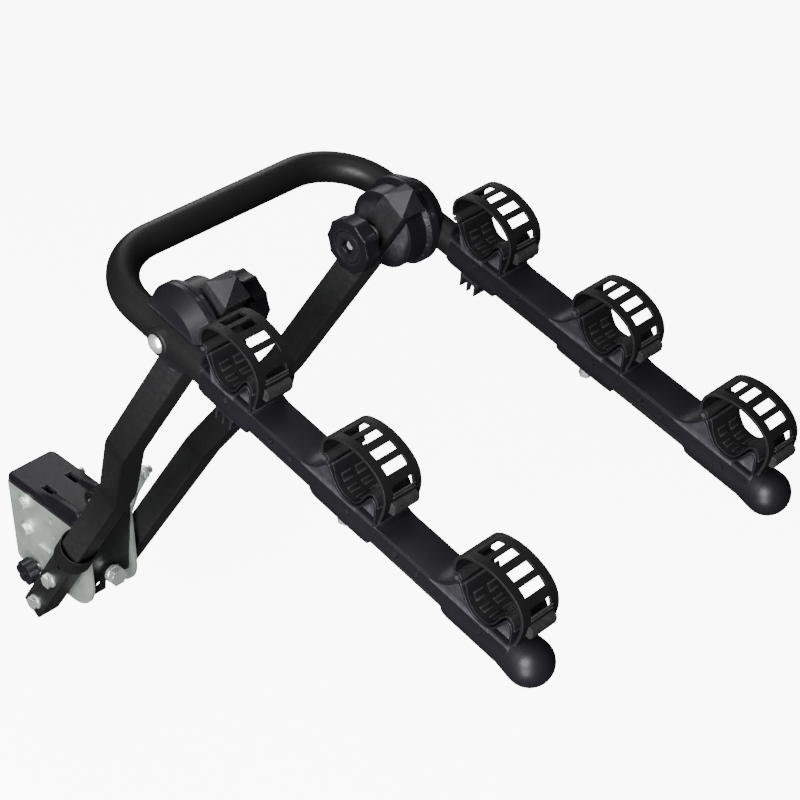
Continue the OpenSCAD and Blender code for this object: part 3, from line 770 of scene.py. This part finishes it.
EDGES = {
    "plate_left": 0.4, "plate_right": 0.4, "ball_cup": 0.8, "rear_spacer": 0.6, "plate_bolts": 0.35,
    "front_plate": 0.5, "clamp_bar": 0.8, "clamp_bolt": 0.6, "clamp_jaw": 0.8,
    "coil_bush": 0.4, "coil_pin": 0.5, "lug_bolt": 0.4, "star_knob": 0.8, "star_screw": 0.4,
    "foot_left": 0.8, "foot_spacers": 0.4, "foot_bolts": 0.5, "sleeve_left": 0.5, "tube_caps": 0.9,
    "pivot_bolts": 0.6, "knob_washers": 0.3, "drum_left": 0.5, "drum_right": 0.5, "rail_bolts": 0.4,
    "rail_clips": 0.4,
}


HOUSING_RIM = (109.1, 40.2)  # x and radius just inside the round edge that faces the knob
KNOB_RIM = (62.5, 26.2)  # the same for the outer edge of a knob's face


def rim_picker(rim):
    """A test for points nearer the middle plane than the rim's x and further from the hub axis than
    its radius."""
    inner_x = rim[0] * MM
    radius = rim[1] * MM

    def chosen(co):
        return abs(co.x) < inner_x and math.hypot(co.y - HUB.y, co.z - HUB.z) > radius
    return chosen


# ---------- assembly ----------

u_tube()
side_tube("left", -1, SLEEVE_S + SLEEVE_LEN - 0.2)
side_tube("right", 1, FOOT_END)
end_caps()
bracket_cover()
for side_name, sign in SIDES:
    rail(side_name, sign)
    liners(side_name, sign)
    for number in (1, 2, 3):
        strap(side_name, sign, number)
for node_name, width in EDGES.items():
    refine(node_name, width)
for side_name, _ in SIDES:
    refine("hub_housing_" + side_name, 0.9, big=7.0, chosen=rim_picker(HOUSING_RIM))
    refine("knob_" + side_name, 0.6, big=1.6, chosen=rim_picker(KNOB_RIM))

# ---------- floor, light and camera ----------

FLOOR_Z = -0.40  # in metres: a tow ball stands about this high over the road


def stage():
    """The pale floor. It glows, and is hidden from diffuse and glossy rays, so that its light
    doesn't reach the black pieces from below."""
    bm = bmesh.new()
    bmesh.ops.create_grid(bm, x_segments=2, y_segments=2, size=14)
    mesh = bpy.data.meshes.new("floor")
    bm.to_mesh(mesh)
    bm.free()
    floor = bpy.data.objects.new("floor", mesh)
    floor.location.z = FLOOR_Z
    n = Nodes("pale_floor")
    n.link(n.mix(n.noise(3.0, 3.0), (0.86, 0.86, 0.86), (0.9, 0.9, 0.9)), "Base Color")
    n.shader.inputs["Roughness"].default_value = 0.9
    n.shader.inputs["Emission Color"].default_value = (1, 1, 1, 1)
    n.shader.inputs["Emission Strength"].default_value = 8.0
    mesh.materials.append(n.material)
    floor.visible_diffuse = False
    floor.visible_glossy = False
    bpy.context.scene.collection.objects.link(floor)


def area_light(name, place, target, size, power):
    """A square light at place that points at target."""
    data = bpy.data.lights.new(name, "AREA")
    data.size = size
    data.energy = power
    light = bpy.data.objects.new(name, data)
    light.location = place
    light.rotation_euler = (Vector(target) - Vector(place)).to_track_quat("-Z", "Y").to_euler()
    bpy.context.scene.collection.objects.link(light)


def lights():
    """Soft light from the left, with weak light from above and behind."""
    world = bpy.data.worlds.new("studio")
    world.use_nodes = True
    world.node_tree.nodes["Background"].inputs["Color"].default_value = (1, 1, 1, 1)
    world.node_tree.nodes["Background"].inputs["Strength"].default_value = 0.08
    bpy.context.scene.world = world
    area_light("key", (-2.7, -1.7, 2.2), (0, -0.5, 0.4), 1.5, 460)
    area_light("low", (-2.9, -2.3, 0.1), (0, -0.5, 0.4), 1.2, 230)
    area_light("top", (0.0, -0.4, 3.2), (0, -0.4, 0.4), 2.0, 34)
    area_light("back", (1.6, 2.0, 2.0), (0, -0.4, 0.4), 1.4, 34)


def camera():
    """The camera, at the fitted place and angle of the reference view."""
    data = bpy.data.cameras.new("camera")
    data.lens = 91.15
    data.sensor_width = 36
    data.clip_start = 0.05
    thing = bpy.data.objects.new("camera", data)
    forward = Vector((0.5684, 0.5787, -0.5850)).normalized()
    right = Vector((0.713, -0.701, 0.0)).normalized()
    up = right.cross(forward).normalized()
    right = forward.cross(up).normalized()
    turn = Matrix((right, up, -forward)).transposed()
    thing.matrix_world = Matrix.Translation((-1.0838, -1.6905, 1.6108)) @ turn.to_4x4()
    bpy.context.scene.collection.objects.link(thing)
    bpy.context.scene.camera = thing


stage()
lights()
camera()
